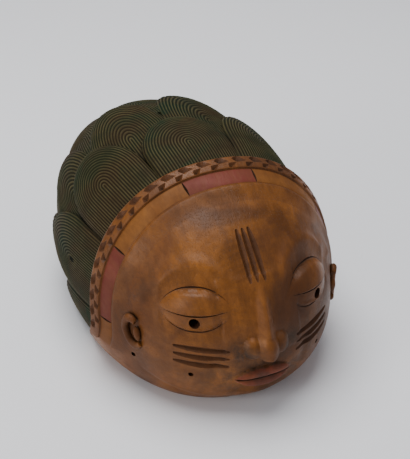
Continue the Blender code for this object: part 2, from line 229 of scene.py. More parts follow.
def band_line(point):
    """Y of the band's face edge beside a point, which sweeps back towards the rim."""
    below = max(0.0, (BAND_SWEEP_BELOW - point.z) / BAND_SWEEP_BELOW)
    line = SEAT_BACK + BAND_PLACE + BAND_LEAN * point.z + BAND_BOW * (point.x / BOW_SPAN) ** 2
    return line + BAND_SWEEP * min(below, SWEEP_LIMIT) ** 2


def face_way(turn, rise):
    """Direction by turn from the face axis (towards +X) and rise above the seat."""
    turn = math.radians(turn)
    rise = math.radians(rise)
    return Vector((math.sin(turn) * math.cos(rise), -math.cos(turn) * math.cos(rise), math.sin(rise)))


def roll_way(roll, back):
    """Direction by roll round the Y axis (towards -X) and angle back from the seat's cross plane."""
    roll = math.radians(roll)
    back = math.radians(back)
    return Vector((-math.sin(roll) * math.cos(back), math.sin(back), math.cos(roll) * math.cos(back)))


def solve_back(roll, offset):
    """Angle back at which the dome crosses the band's line plus an offset."""
    low, high = -80.0, 80.0
    for _ in range(26):
        middle = 0.5 * (low + high)
        way = roll_way(roll, middle)
        point = at(way, dome_radius(way))
        if point.y - band_line(point) < offset:
            low = middle
        else:
            high = middle
    return 0.5 * (low + high)


def eye_half(along):
    """Half opening of the almond eye at a place from -1 to 1 along it."""
    point, fullness = EYE_POINT
    return EYE_OPEN * max(0.0, 1.0 - abs(along) ** point) ** fullness


def eye_relief(turn, rise):
    """Heavy-lidded almond eye in a shallow socket, under a soft brow."""
    along = (abs(turn) - EYE_TURN) / EYE_HALF
    up = rise - EYE_RISE
    half = eye_half(along)
    if abs(along) < 1.0:
        gap = abs(up) - half
    else:
        gap = math.hypot((abs(along) - 1.0) * EYE_HALF, up)
    if gap >= 0.0:
        socket = -SOCKET_DEPTH * bell(gap, 3.0)
        brow = 1.9 * bell(gap - 6.5, 2.4) * smoothstep((up + 1.0) / 3.0)
        return socket + brow
    share = up / half
    ball = EYE_SWELL * (1.0 - EYE_ROUND * share * share)
    lid = LID_STEP * smoothstep((share - LID_EDGE + 0.05) / 0.1)
    lower = 0.9 * smoothstep((-0.66 - share) / 0.1)
    round_edge = smoothstep((1.0 - abs(share)) / 0.2)
    return (1.0 - along * along) * (ball + lid + lower + 1.1) * round_edge - SOCKET_DEPTH


def nose_relief(across, rise):
    """Fine straight ridge with a rounded tip and broad wings."""
    up = (rise - NOSE_BASE_RISE) / (NOSE_TOP_RISE - NOSE_BASE_RISE)
    if up > 1.15 or abs(across) > 30.0:
        return 0.0
    root = smoothstep((1.12 - up) / 0.36)
    high = NOSE_BRIDGE_OUT + (NOSE_TIP_OUT - NOSE_BRIDGE_OUT) * max(0.0, 1.0 - up) ** NOSE_SLOPE
    half = 6.0 + 6.0 * smoothstep((0.5 - up) / 0.5)
    ridge = high * max(0.0, 1.0 - (abs(across) / half) ** 1.5) * root
    tip_gap = math.hypot(across / 7.6, (rise - NOSE_BASE_RISE - 2.7) / 3.4)
    tip = 11.8 * max(0.0, 1.0 - tip_gap ** 2) ** 0.45
    wing_gap = math.hypot((abs(across) - 10.6) / 7.2, (rise - NOSE_BASE_RISE - 2.3) / 3.0)
    wing = 6.9 * max(0.0, 1.0 - wing_gap ** 2) ** 0.45
    under = smoothstep((rise - NOSE_BASE_RISE + 0.9) / 0.9)
    flank = 1.9 * bell(across, 12.0) * smoothstep((1.05 - up) / 0.7) * smoothstep((up + 0.05) / 0.1)
    return soft_max(soft_max(ridge, tip, 1.8), wing, 2.2) * under + flank


def mouth_share(across, rise):
    """Place across the lips: 0 on the line between them, 1 on their edge."""
    along = min(abs(across) / MOUTH_HALF, 1.0)
    half = max(LIP_HEIGHT * (1.0 - along * along) ** 0.85, 0.05)
    up = rise - MOUTH_RISE
    bow = 1.0 - 0.16 * bell(along, 0.16) if up > 0.0 else 1.0
    return up / (half * bow), along


def mouth_relief(turn, rise):
    """Full closed lips with a shallow bow and a firm edge."""
    share, along = mouth_share(turn, rise)
    if abs(share) >= 1.0 or along >= 1.0:
        return 0.0
    fold = math.sin(math.pi * abs(share)) ** 0.6
    return LIP_OUT * (1.0 - along ** 4) * (0.25 + 0.75 * fold)


def jaw_height(turn):
    """Height above the rim of the jaw's soft edge, from under the chin up to the mouth's level at its angle."""
    mouth_level = SEAT.z + FACE_REACH * math.sin(math.radians(MOUTH_RISE))
    return JAW_CHIN + (mouth_level - JAW_CHIN) * min(1.0, abs(turn) / EAR_TURN) ** 2


def face_relief(way, point):
    """Everything that stands out of the dome, or is sunk into it, in front of the band."""
    turn = math.degrees(math.atan2(way.x, -way.y))
    rise = math.degrees(math.asin(max(-1.0, min(1.0, way.z))))
    if abs(turn) > 62.0 or rise > 55.0:
        return 0.0
    relief = nose_relief(point.x, rise)
    relief += eye_relief(turn, rise) * smoothstep(1.0 - relief / 1.6)
    relief += mouth_relief(turn, rise)
    relief -= 1.1 * bell(point.x, 2.6) * smoothstep((rise + 2.2) / 1.0) * smoothstep((1.6 - rise) / 1.0)
    relief += 2.6 * bell(turn, 6.5) * bell(rise + 12.6, 3.2)
    relief -= 1.2 * bell(turn, 6.0) * bell(rise + 10.2, 1.0)
    relief -= 1.3 * bell(abs(turn) - 12.5, 1.6) * smoothstep((3.0 - rise) / 3.0) * smoothstep((rise + 8.0) / 4.0)
    jaw = smoothstep((EAR_TURN - abs(turn)) / 6.0)
    under = jaw_height(turn) - point.z
    relief -= jaw * (JAW_STEP * smoothstep(under / JAW_SOFTNESS) * smoothstep((JAW_FADE - under) / JAW_FADE))
    ear = math.hypot((abs(turn) - EAR_TURN) / 4.4, (rise - EAR_RISE) / 7.0)
    return relief - 1.6 * smoothstep((1.0 - ear) / 0.6)


def skin_radius(way):
    """Finished skin: dome with the face in front of the band, hair bed behind it."""
    dome = dome_radius(way)
    point = at(way, dome)
    behind = point.y - band_line(point)
    back = smoothstep((behind - BAND_WIDTH + BAND_LAP) / BED_RAMP)
    front = smoothstep((-behind - 4.0) / 8.0)
    relief = face_relief(way, point) * front if front > 0.0 else 0.0
    return dome + relief + (bed_radius(way) - dome) * back


def spread(angle, full, fine):
    """Crowd a sphere's divisions into the carved part of the face."""
    part = abs(angle) / full[0]
    if part < FINE_SHARE:
        return math.copysign(fine * part / FINE_SHARE, angle)
    rest = (part - FINE_SHARE) / (1.0 - FINE_SHARE)
    slope = fine * (1.0 - FINE_SHARE) / FINE_SHARE
    return math.copysign(fine + slope * rest + (full[1] - fine - slope) * rest * rest, angle)


def dome_mesh(bm):
    """Dome with the face carved in its front."""
    bmesh.ops.create_uvsphere(bm, u_segments=DOME_COLUMNS, v_segments=DOME_ROWS, radius=1.0)
    for vert in bm.verts:
        way = vert.co.normalized()
        rise = math.degrees(math.asin(max(-1.0, min(1.0, way.z))))
        turn = math.degrees(math.atan2(way.x, -way.y)) if abs(rise) < 89.99 else 0.0
        reach = 90.0 - FACE_MIDDLE_RISE if rise > 0.0 else 90.0 + FACE_MIDDLE_RISE
        rise = FACE_MIDDLE_RISE + spread(rise, (90.0, reach), FINE_RISE)
        way = face_way(spread(turn, (180.0, 180.0), FINE_TURN), rise)
        vert.co = at(way, skin_radius(way)) * MM


def hollow_mesh(bm):
    """Space for the wearer's head, open below."""
    bmesh.ops.create_uvsphere(bm, u_segments=HOLLOW_COLUMNS, v_segments=HOLLOW_ROWS, radius=1.0)
    for vert in bm.verts:
        way = vert.co.normalized()
        vert.co = at(way, hollow_radius(way)) * MM


def below_rim_mesh(bm):
    """Block that trims the rim flat."""
    bmesh.ops.create_cube(bm, size=1.0)
    bmesh.ops.scale(bm, vec=(0.5, 0.5, 0.2), verts=bm.verts)
    bmesh.ops.translate(bm, vec=(0.0, 0.0, -0.1), verts=bm.verts)


def laid_patch(bm, columns, rows, place, marks=()):
    """A grid laid on the form by place(u, v), closed by a plain back below the skin.

    marks names float layers, filled from the values that place gives after the point.
    """
    layers = [bm.verts.layers.float.new(name) for name in marks]
    bmesh.ops.create_grid(bm, x_segments=columns, y_segments=rows, size=0.5)
    for vert in bm.verts:
        spot, values = place(vert.co.x + 0.5, vert.co.y + 0.5)
        vert.co = spot * MM
        for layer, value in zip(layers, values):
            vert[layer] = value
    bmesh.ops.remove_doubles(bm, verts=bm.verts, dist=MERGE)
    edge = [item for item in bm.edges if item.is_boundary]
    wall = bmesh.ops.extrude_edge_only(bm, edges=edge)["geom"]
    foot = [item for item in wall if isinstance(item, bmesh.types.BMVert)]
    seat = SEAT * MM
    for vert in foot:
        vert.co -= (vert.co - seat).normalized() * PATCH_ROOT * MM
    rim = [item for item in wall if isinstance(item, bmesh.types.BMEdge)]
    cap = bmesh.ops.contextual_create(bm, geom=rim)["faces"]
    middle = bmesh.ops.poke(bm, faces=cap)["verts"][0]
    reach = sum((vert.co - seat).length for vert in foot) / len(foot)
    middle.co = seat + (middle.co - seat).normalized() * reach


def lock_mesh(bm, ring, centre, half_angle, reach, tone):
    """One tongue-shaped lock, combed with nested arches that follow its outline."""
    columns = COMB_LINES * COMB_SAMPLES

    def place(u, v):
        swing = 2.0 * v - 1.0
        if abs(swing) > 1.0 - LOCK_CORE:
            across = math.copysign(u, swing)
            along = 1.0 - abs(swing)
        else:
            angle = swing / (1.0 - LOCK_CORE) * 0.5 * math.pi
            across = u * math.sin(angle)
            along = LOCK_CORE + u * (1.0 - LOCK_CORE) * math.cos(angle)
        roll = centre + across * half_angle * LOCK_OVERLAP
        start = RING_STARTS[ring]
        if ring == 0:
            start = solve_back(roll, BAND_WIDTH - HAIR_LAP)
            roll += centre * FRONT_FAN * along
        way = roll_way(roll, start + along * (reach - start))
        base = RING_BASE_RISES[ring]
        low, high = LOCK_SWELL
        swell = base + (1.0 - base) * smoothstep((along - low) / (high - low))
        comb = 0.5 - 0.5 * math.cos(2.0 * math.pi * COMB_LINES * u)
        body = (1.0 - LOCK_CROWN * u * u) * max(0.0, 1.0 - u ** LOCK_EDGE) ** 0.5
        lift = LOCK_RISE * swell * body - COMB_DEPTH * (1.0 - comb) * smoothstep((1.0 - u) / 0.08)
        return at(way, bed_radius(way) + lift), (1.0 + comb, tone)

    laid_patch(bm, columns, LOCK_ROWS, place, ("comb", "tone"))


def whorl_mesh(bm):
    """Round knot of hair where the last ring meets, combed in circles."""
    def place(u, v):
        way = roll_way(360.0 * v, 90.0 - WHORL_SPAN * u)
        body = (1.0 - LOCK_CROWN * u * u) * max(0.0, 1.0 - u ** LOCK_EDGE) ** 0.5
        comb = 0.5 - 0.5 * math.cos(2.0 * math.pi * WHORL_LINES * u)
        lift = WHORL_RISE * body - COMB_DEPTH * (1.0 - comb) * smoothstep((1.0 - u) / 0.08)
        return at(way, bed_radius(way) + lift), (1.0 + comb, 1.5)

    laid_patch(bm, WHORL_LINES * COMB_SAMPLES, 2 * LOCK_ROWS, place, ("comb", "tone"))


def lock_places():
    """Ring number, roll, half angle, far reach and tone of each lock that shows above the rim."""
    for ring, count in enumerate(RING_COUNTS):
        step = 360.0 / count
        for index in range(-(count // 2), count - count // 2):
            roll = LOCK_CENTRE + (index + 0.5 * (ring % 2)) * step
            if ring == 0:
                if abs(index) >= len(FRONT_REACHES):
                    continue
                reach = FRONT_REACHES[abs(index)]
            else:
                reach = RING_REACHES[ring]
            way = roll_way(roll, reach)
            if at(way, bed_radius(way)).z > LEAST_LOCK_HEIGHT:
                yield ring, roll, 0.5 * step, reach, 1.0 + (0.37 * index + 0.61 * ring) % 1.0


BAND_PROFILE = (
    (-16.0, -0.15), (-14.0, -0.01), (-12.0, 0.16), (-10.0, 0.42), (-8.0, 0.78), (-6.0, 1.24), (-4.2, 1.68),
    (-2.6, 2.02), (-1.5, 2.15), (-0.9, 2.05),
    (-0.4, 1.3), (0.1, 0.7), (0.7, 0.9), (1.6, PANEL_RISE), (4.5, 1.35), (7.0, 1.4), (9.5, 1.35),
    (12.4, PANEL_RISE), (13.2, 1.0), (13.8, 1.6), (14.4, 2.6), (15.2, PLAIT_RISE), (17.0, 3.1), (20.0, 3.2),
    (23.0, 3.1), (24.6, 3.3), (25.4, 2.9), (26.0, 1.4),
)
PANEL_EDGE = (0.7, 13.2)
BAND_STATIONS = 210


def band_point(roll, offset, height):
    """Point over the dome at a roll round the head and an offset back from the band's face edge."""
    way = roll_way(roll, solve_back(roll, offset))
    return at(way, dome_radius(way) + height)


def band_mesh(bm):
    """Raised arch from rim to rim: soft shoulder, sunk panels and the plait's bed."""
    last = len(BAND_PROFILE) - 1

    def place(u, v):
        roll = BAND_END_ROLL * (2.0 * u - 1.0)
        offset, height = BAND_PROFILE[round(v * last)]
        return band_point(roll, offset, height), (1.0 + roll / 360.0 + 0.5, 1.0 + offset / 100.0)

    laid_patch(bm, BAND_STATIONS, last, place, ("band_roll", "band_offset"))


def bar(bm, spots, sides):
    """Closed three-sided bar through spots, each a (left, right, bottom) triple that meet at both ends."""
    last = len(spots) - 1
    made = bmesh.ops.create_grid(bm, x_segments=last, y_segments=sides, size=0.5)["verts"]
    for vert in made:
        station = round((vert.co.x + 0.5) * last)
        side = round((vert.co.y + 0.5) * sides) % sides
        vert.co = spots[station][side] * MM
    bmesh.ops.remove_doubles(bm, verts=made, dist=MERGE)


def groove(bm, path, width, depth, lift=1.0, taper=0.5, lead=0.5):
    """Knife cut with a V section along path(s) -> (point, out), pointed at both ends."""
    count = GROOVE_STATIONS
    spots = []
    for index in range(count + 1):
        s = index / count
        here, out = path(s)
        ahead = path(min(s + 0.02, 1.0))[0]
        behind = path(max(s - 0.02, 0.0))[0]
        side = out.cross((ahead - behind).normalized()).normalized()
        run = s / lead if s < lead else (1.0 - s) / (1.0 - lead)
        full = max(0.0, min(run, 1.0)) ** taper
        half = 0.5 * width * full * (1.0 + lift / depth)
        top = here + out * lift
        bottom = here + out * (lift * (1.0 - full) - depth * full)
        spots.append((top - side * half, bottom, top + side * half))
    bar(bm, spots, 3)


def skin_path(place):
    """A line on the skin through place(s), a (turn, rise) pair, with the skin's own outward direction."""
    def spot(turn, rise):
        way = face_way(turn, rise)
        return at(way, skin_radius(way))

    def path(s):
        turn, rise = place(s)
        across = spot(turn + 1.0, rise) - spot(turn - 1.0, rise)
        above = spot(turn, rise + 1.0) - spot(turn, rise - 1.0)
        out = across.cross(above).normalized()
        way = face_way(turn, rise)
        if out.dot(way) < 0.0:
            out = -out
        return spot(turn, rise), (out + way).normalized()

    return path


def face_path(start, end, bulge=0.0):
    """A line on the skin between two (turn, rise) places, bowed upwards by bulge degrees."""
    def place(s):
        turn = start[0] + (end[0] - start[0]) * s
        return turn, start[1] + (end[1] - start[1]) * s + bulge * 4.0 * s * (1.0 - s)

    return skin_path(place)


def marks_mesh(bm):
    """Traditional marks: three upright cuts on the forehead, three level ones on each cheek."""
    for step in (-1, 0, 1):
        turn = step * FOREHEAD_MARK_STEP
        path = face_path((turn, FOREHEAD_MARK_RISE - 7.5), (turn, FOREHEAD_MARK_RISE + 7.5))
        groove(bm, path, 5.0, 2.0, taper=0.2, lead=0.6)
    for side in (-1.0, 1.0):
        for rise in CHEEK_MARK_RISES:
            near = (side * (CHEEK_MARK_TURN - 7.5), rise)
            far = (side * (CHEEK_MARK_TURN + 7.5), rise + 0.6)
            groove(bm, face_path(near, far), 5.2, 2.4, taper=0.2)


def eye_line_mesh(bm, side, up, gap, reach, width):
    """Knife line that follows the eye's outline, over the lid (up = 1) or under the eye (up = -1)."""
    def place(s):
        along = (2.0 * s - 1.0) * reach
        return side * (EYE_TURN + along * EYE_HALF), EYE_RISE + up * (eye_half(along) + gap)

    groove(bm, skin_path(place), width, 0.9, taper=0.35)


def lid_line_mesh(bm, side):
    """Knife line along the edge of the upper lid."""
    inner = (side * (EYE_TURN - EYE_HALF), EYE_RISE)
    outer = (side * (EYE_TURN + EYE_HALF), EYE_RISE)
    groove(bm, face_path(inner, outer, LID_EDGE * EYE_OPEN - 0.3), 1.1, 1.0, taper=0.35)


def mouth_line_mesh(bm):
    """Deep line between the lips."""
    path = face_path((-MOUTH_HALF - 0.4, MOUTH_RISE), (MOUTH_HALF + 0.4, MOUTH_RISE))
    groove(bm, path, 1.8, 1.6, lift=1.2, taper=0.35)


def nostrils_mesh(bm):
    """Shallow drilled nostrils under the wings."""
    for side in (-1.0, 1.0):
        way = face_way(0.0, NOSE_BASE_RISE)
        made = bmesh.ops.create_uvsphere(bm, u_segments=16, v_segments=10, radius=1.0)["verts"]
        bmesh.ops.scale(bm, vec=(3.4, 3.4, 2.2), verts=made)
        place = at(way, dome_radius(way) + 6.0) + Vector((side * 7.5, 0.0, -0.6))
        bmesh.ops.translate(bm, vec=place, verts=made)
        bmesh.ops.scale(bm, vec=(MM, MM, MM), verts=made)


def band_path(roll, offset, slant, length, height):
    """A short line on the band, turned by slant from the band's run."""
    here = band_point(roll, offset, height)
    along = (band_point(roll + 1.0, offset, height) - band_point(roll - 1.0, offset, height)).normalized()
    across = (band_point(roll, offset + 1.0, height) - band_point(roll, offset - 1.0, height)).normalized()
    out = across.cross(along).normalized()
    if out.dot(roll_way(roll, 0.0)) < 0.0:
        out = -out
    along = Matrix.Rotation(math.radians(slant), 3, out) @ along

    def path(s):
        return here + along * (length * (s - 0.5)), out

    return path


def splits_mesh(bm):
    """Cuts across the band between its panels."""
    for side in (-1.0, 1.0):
        for roll in PANEL_SPLITS:
            middle = 0.5 * (PANEL_EDGE[0] + PANEL_EDGE[1])
            groove(bm, band_path(side * roll, middle, 90.0, 14.6, PANEL_RISE), 1.7, 1.7, taper=0.2)


def notches_mesh(bm):
    """Two staggered rows of slanted chip cuts that leave a zigzag plait."""
    count = int(NOTCH_END_ROLL // NOTCH_PITCH)
    for row, (offset, length, width, slant) in enumerate(NOTCH_ROWS):
        for index in range(-count, count + 1):
            roll = (index + 0.5 * row) * NOTCH_PITCH
            groove(bm, band_path(roll, offset, slant, length, PLAIT_RISE), width, 2.4, lift=0.8, taper=0.8, lead=0.66)


def hole_mesh(bm, turn, rise, width):
    """A round hole straight through the wall towards the seat axis."""
    way = face_way(turn, rise)
    made = bmesh.ops.create_cone(
        bm, cap_ends=True, segments=20, radius1=0.5 * width, radius2=0.5 * width, depth=52.0)["verts"]
    level = Vector((way.x, way.y, 0.0)).normalized()
    turned = level.to_track_quat("Z", "Y").to_matrix().to_4x4()
    move = Matrix.Translation(at(way, dome_radius(way) - 6.5)) @ turned
    bmesh.ops.transform(bm, matrix=Matrix.Scale(MM, 4) @ move, verts=made)


def holes_mesh(bm):
    """Pierced pupils and tie holes."""
    for side in (-1.0, 1.0):
        hole_mesh(bm, side * PUPIL_TURN, PUPIL_RISE, PUPIL_WIDTH)
        for turn, rise in TIE_HOLES:
            hole_mesh(bm, side * turn, rise, TIE_HOLE_WIDTH)


def ear_frame(side):
    """Centre, forward, up and out directions of an ear."""
    way = face_way(side * EAR_TURN, EAR_RISE)
    out = Vector((side * EAR_OUT[0], EAR_OUT[1], EAR_OUT[2])).normalized()
    up = Vector((0.0, 0.25, 1.0))
    forward = out.cross(up).normalized() * side
    up = forward.cross(out).normalized() * side
    return at(way, dome_radius(way) + 0.5), forward, up, out


def ear_mesh(bm, side):
    """C-shaped ear rim that swells at its top and thins to the lobe."""
    centre, forward, up, out = ear_frame(side)
    stations = 44
    sides = 14
    bmesh.ops.create_grid(bm, x_segments=stations, y_segments=sides, size=0.5)
    for vert in bm.verts:
        u = vert.co.x + 0.5
        angle = math.radians(EAR_OPEN + (360.0 - 2.0 * EAR_OPEN) * u)
        around = 2.0 * math.pi * (vert.co.y + 0.5)
        thick = EAR_TUBE * (0.62 + 0.38 * math.sin(math.pi * u) ** 0.5)
        spread_out = EAR_RADIUS + thick * math.cos(around)
        flat = forward * (math.cos(angle) * EAR_SLIM) + up * (math.sin(angle) * EAR_TALL)
        vert.co = (centre + flat * spread_out + out * (thick * math.sin(around))) * MM
    bmesh.ops.remove_doubles(bm, verts=bm.verts, dist=MERGE)
    bmesh.ops.holes_fill(bm, edges=bm.edges)


def ear_fold_mesh(bm, side):
    """Small fold inside the ear, in front of the opening."""
    centre, forward, up, out = ear_frame(side)
    made = bmesh.ops.create_uvsphere(bm, u_segments=20, v_segments=12, radius=1.0)["verts"]
    turn = Matrix((forward * 2.4, up * 6.2, out * 2.8)).transposed().to_4x4()
    move = Matrix.Translation(centre + forward * 3.8 - up * 0.8) @ turn
    bmesh.ops.transform(bm, matrix=Matrix.Scale(MM, 4) @ move, verts=made)


class Carving:
    """Collects the solids that the mask is built up from and cut with."""

    def __init__(self):
        self.raised = bpy.data.collections.new("raised_work")
        self.cut = bpy.data.collections.new("cut_work")
        for group in (self.raised, self.cut):
            bpy.context.scene.collection.children.link(group)

    def add(self, name, maker, material, group=None):
        """Make one closed solid with its own finish."""
        bm = bmesh.new()
        maker(bm)
        for mark in ("comb", "tone", "band_roll", "band_offset"):
            if mark not in bm.verts.layers.float:
                bm.verts.layers.float.new(mark)
        bmesh.ops.recalc_face_normals(bm, faces=bm.faces)
        mesh = bpy.data.meshes.new(name)
        bm.to_mesh(mesh)
        bm.free()
        mesh.materials.append(material)
        thing = bpy.data.objects.new(name, mesh)
        (group or bpy.context.scene.collection).objects.link(thing)
        return thing

    def join(self, thing):
        """Union with the raised work, then cut, as one finished mesh."""
        for name, operation, group in (("raised", "UNION", self.raised), ("cut", "DIFFERENCE", self.cut)):
            modifier = thing.modifiers.new(name, "BOOLEAN")
            modifier.operation = operation
            modifier.solver = "MANIFOLD"
            modifier.operand_type = "COLLECTION"
            modifier.collection = group
            modifier.material_mode = "TRANSFER"
        depsgraph = bpy.context.evaluated_depsgraph_get()
        mesh = bpy.data.meshes.new_from_object(thing.evaluated_get(depsgraph))
        thing.modifiers.clear()
        thing.data = mesh
        for group in (self.raised, self.cut):
            for helper in list(group.objects):
                bpy.data.objects.remove(helper, do_unlink=True)
            bpy.data.collections.remove(group)
        return thing


def fill_marks(mesh):
    """Give points that the cuts made the marks of their neighbours, and bring each mark back to 0..1."""
    links = [[] for _ in mesh.vertices]
    for edge in mesh.edges:
        low, high = edge.vertices
        links[low].append(high)
        links[high].append(low)
    for name in ("comb", "tone", "band_roll", "band_offset"):
        data = mesh.attributes[name].data
        values = [item.value for item in data]
        for _ in range(2):
            missing = [index for index, value in enumerate(values) if value < 0.5]
            found = {}
            for index in missing:
                near = [values[other] for other in links[index] if values[other] >= 0.5]
                if near:
                    found[index] = sum(near) / len(near)
            for index, value in found.items():
                values[index] = value
        for index, value in enumerate(values):
            data[index].value = value - 1.0 if value >= 0.5 else 0.0


def ray_fan(count, lean):
    """Evenly wound directions round +Z, for looking out from a point on the surface."""
    golden = math.pi * (3.0 - math.sqrt(5.0))
    fan = []
    for index in range(count):
        high = 1.0 - (index + 0.5) / count * lean
        flat = math.sqrt(max(0.0, 1.0 - high * high))
        fan.append(Vector((flat * math.cos(golden * index), flat * math.sin(golden * index), high)))
    return fan


def measure_surface(mesh):
    """Write how shut in (cavity) and how exposed (edge) each point is."""
    tree = BVHTree.FromPolygons([v.co for v in mesh.vertices], [p.vertices for p in mesh.polygons])
    cavity = mesh.attributes.new("cavity", "FLOAT", "POINT").data
    edge = mesh.attributes.new("edge", "FLOAT", "POINT").data
    out_fan = ray_fan(12, 0.9)
    in_fan = ray_fan(6, 0.75)
    far = 0.014
    near = 0.0035
    for index, vert in enumerate(mesh.vertices):
        out = vert.normal
        turn = out.to_track_quat("Z", "Y").to_matrix()
        start = vert.co + out * 0.0003
        shut = 0.0
        for way in out_fan:
            gap = tree.ray_cast(start, turn @ way, far)[3]
            if gap is not None:
                shut += 1.0 - gap / far
        # The cavity value later darkens the hollows, as soiling and painted shade.
        cavity[index].value = shut / len(out_fan)
        start = vert.co - out * 0.0002
        bare = 0.0
        for way in in_fan:
            gap = tree.ray_cast(start, -(turn @ way), near)[3]
            if gap is not None:
                bare += 1.0 - gap / near
        edge[index].value = bare / len(in_fan)


def measure_face(mesh):
    """Write where the lips are, and where soot, handling and painted shade darken the face: painted shade in the
    recesses round the mouth and nose wings, and on the +X cheek alone.
    """
    lips = mesh.attributes.new("lips", "FLOAT", "POINT").data
    smoke_and_shade = mesh.attributes.new("smoke_and_shade", "FLOAT", "POINT").data
    for index, vert in enumerate(mesh.vertices):
        way = (vert.co / MM - SEAT).normalized()
        turn = math.degrees(math.atan2(way.x, -way.y))
        rise = math.degrees(math.asin(max(-1.0, min(1.0, way.z))))
        lips[index].value = -1.0
        smoke_and_shade[index].value = 0.0
        if way.y > 0.0 or abs(turn) > 60.0:
            continue
        share, along = mouth_share(turn, rise)
        if along < 1.0:
            lips[index].value = max(-1.0, 1.0 - abs(share))
        mouth = bell(math.hypot(turn / 15.0, (rise - MOUTH_RISE) / 7.5), 1.0)
        wings = bell(math.hypot((abs(turn) - 6.5) / 4.0, (rise - NOSE_BASE_RISE - 1.0) / 3.5), 1.0)
        # Painted shade: darkens the +X cheek alone, the side of the face away from the side light.
        cheek = 0.75 * bell(math.hypot((turn - 22.0) / 12.0, (rise - 1.0) / 7.0), 1.0)
        temple = 0.5 * bell(math.hypot((abs(turn) - 42.0) / 10.0, (rise - 22.0) / 14.0), 1.0)
        smoke_and_shade[index].value = min(1.0, max(mouth, wings, cheek, temple))


def sharpen(mesh, limits):
    """Smooth shading, with crisp edges past each finish's own angle."""
    mesh.shade_smooth()
    bm = bmesh.new()
    bm.from_mesh(mesh)
    for edge in bm.edges:
        if len(edge.link_faces) == 2:
            limit = max(limits[face.material_index] for face in edge.link_faces)
            edge.smooth = edge.calc_face_angle(0.0) < math.radians(limit)
    bm.to_mesh(mesh)
    bm.free()


# Finishes


class Shader:
    """A material or node group under construction."""

    def __init__(self, tree):
        self.tree = tree

    def node(self, kind, settings=None, **inputs):
        """Add a node; inputs are values or output sockets, by socket name with _ for a space."""
        made = self.tree.nodes.new("ShaderNode" + kind)
        for key, value in (settings or {}).items():
            setattr(made, key, value)
        for key, value in inputs.items():
            self.put(made, key.replace("_", " "), value)
        return made

    def put(self, made, name, value):
        """Set one input by name or index."""
        socket = made.inputs[int(name)] if name.isdigit() else made.inputs[name]
        if isinstance(value, bpy.types.NodeSocket):
            self.tree.links.new(value, socket)
        else:
            socket.default_value = value

    def math(self, operation, first, second=0.0, clamp=False):
        """One sum."""
        made = self.node("Math", {"operation": operation, "use_clamp": clamp})
        self.put(made, "0", first)
        self.put(made, "1", second)
        return made.outputs[0]

    def ramp(self, value, low, high, out_low=0.0, out_high=1.0):
        """Smooth step from out_low to out_high."""
        made = self.node("MapRange", {"interpolation_type": "SMOOTHSTEP"})
        for name, item in zip("01234", (value, low, high, out_low, out_high)):
            self.put(made, name, item)
        return made.outputs[0]

    def mix(self, factor, first, second, blend="MIX"):
        """Mix two colours."""
        made = self.node("Mix", {"data_type": "RGBA", "blend_type": blend})
        self.put(made, "0", factor)
        self.put(made, "6", first)
        self.put(made, "7", second)
        return made.outputs[2]

    def noise(self, vector, scale, detail=4.0, roughness=0.55, distortion=0.0):
        """Fractal noise."""
        made = self.node(
            "TexNoise", Scale=scale, Detail=detail, Roughness=roughness, Distortion=distortion)
        self.put(made, "Vector", vector)
        return made.outputs[0]

    def stretched(self, vector, scale):
        """Squeeze a pattern along the axes."""
        made = self.node("Mapping", {"vector_type": "POINT"})
        self.put(made, "Vector", vector)
        self.put(made, "Scale", scale)
        return made.outputs[0]

    def attribute(self, name):
        """A value stored on the mesh."""
        return self.node("Attribute", {"attribute_name": name}).outputs["Fac"]


def new_group(name, inputs, outputs):
    """Node group with named sockets."""
    tree = bpy.data.node_groups.new(name, "ShaderNodeTree")
    for label, kind, default in inputs:
        socket = tree.interface.new_socket(name=label, in_out="INPUT", socket_type=kind)
        if default is not None:
            socket.default_value = default
    for label, kind in outputs:
        tree.interface.new_socket(name=label, in_out="OUTPUT", socket_type=kind)
    shader = Shader(tree)
    entry = tree.nodes.new("NodeGroupInput")
    leave = tree.nodes.new("NodeGroupOutput")
    return tree, shader, entry.outputs, leave.inputs


def grain_group():
    """Wood figure: long fibres, soft clouds of patina and fine pores."""
    tree, shader, given, result = new_group(
        "wood_figure",
        [("Vector", "NodeSocketVector", None), ("Fibre Scale", "NodeSocketFloat", 260.0),
         ("Cloud Scale", "NodeSocketFloat", 16.0)],
        [("Fibre", "NodeSocketFloat"), ("Cloud", "NodeSocketFloat"), ("Pores", "NodeSocketFloat"),
         ("Gouge", "NodeSocketFloat")])
    along = shader.stretched(given["Vector"], (1.0, 0.07, 0.8))
    fibre = shader.noise(along, given["Fibre Scale"], 6.0, 0.62, 0.4)
    cloud = shader.noise(given["Vector"], given["Cloud Scale"], 5.0, 0.6, 0.5)
    pores = shader.noise(shader.stretched(given["Vector"], (1.0, 0.18, 1.0)), 1500.0, 2.0, 0.5)
    cells = shader.node("TexVoronoi", {"feature": "SMOOTH_F1"}, Scale=85.0, Smoothness=1.0)
    shader.put(cells, "Vector", shader.stretched(given["Vector"], (1.0, 0.55, 1.0)))
    shader.tree.links.new(shader.ramp(fibre, 0.3, 0.7), result["Fibre"])
    shader.tree.links.new(shader.ramp(cloud, 0.34, 0.66), result["Cloud"])
    shader.tree.links.new(shader.ramp(pores, 0.56, 0.72), result["Pores"])
    shader.tree.links.new(cells.outputs["Distance"], result["Gouge"])
    return tree


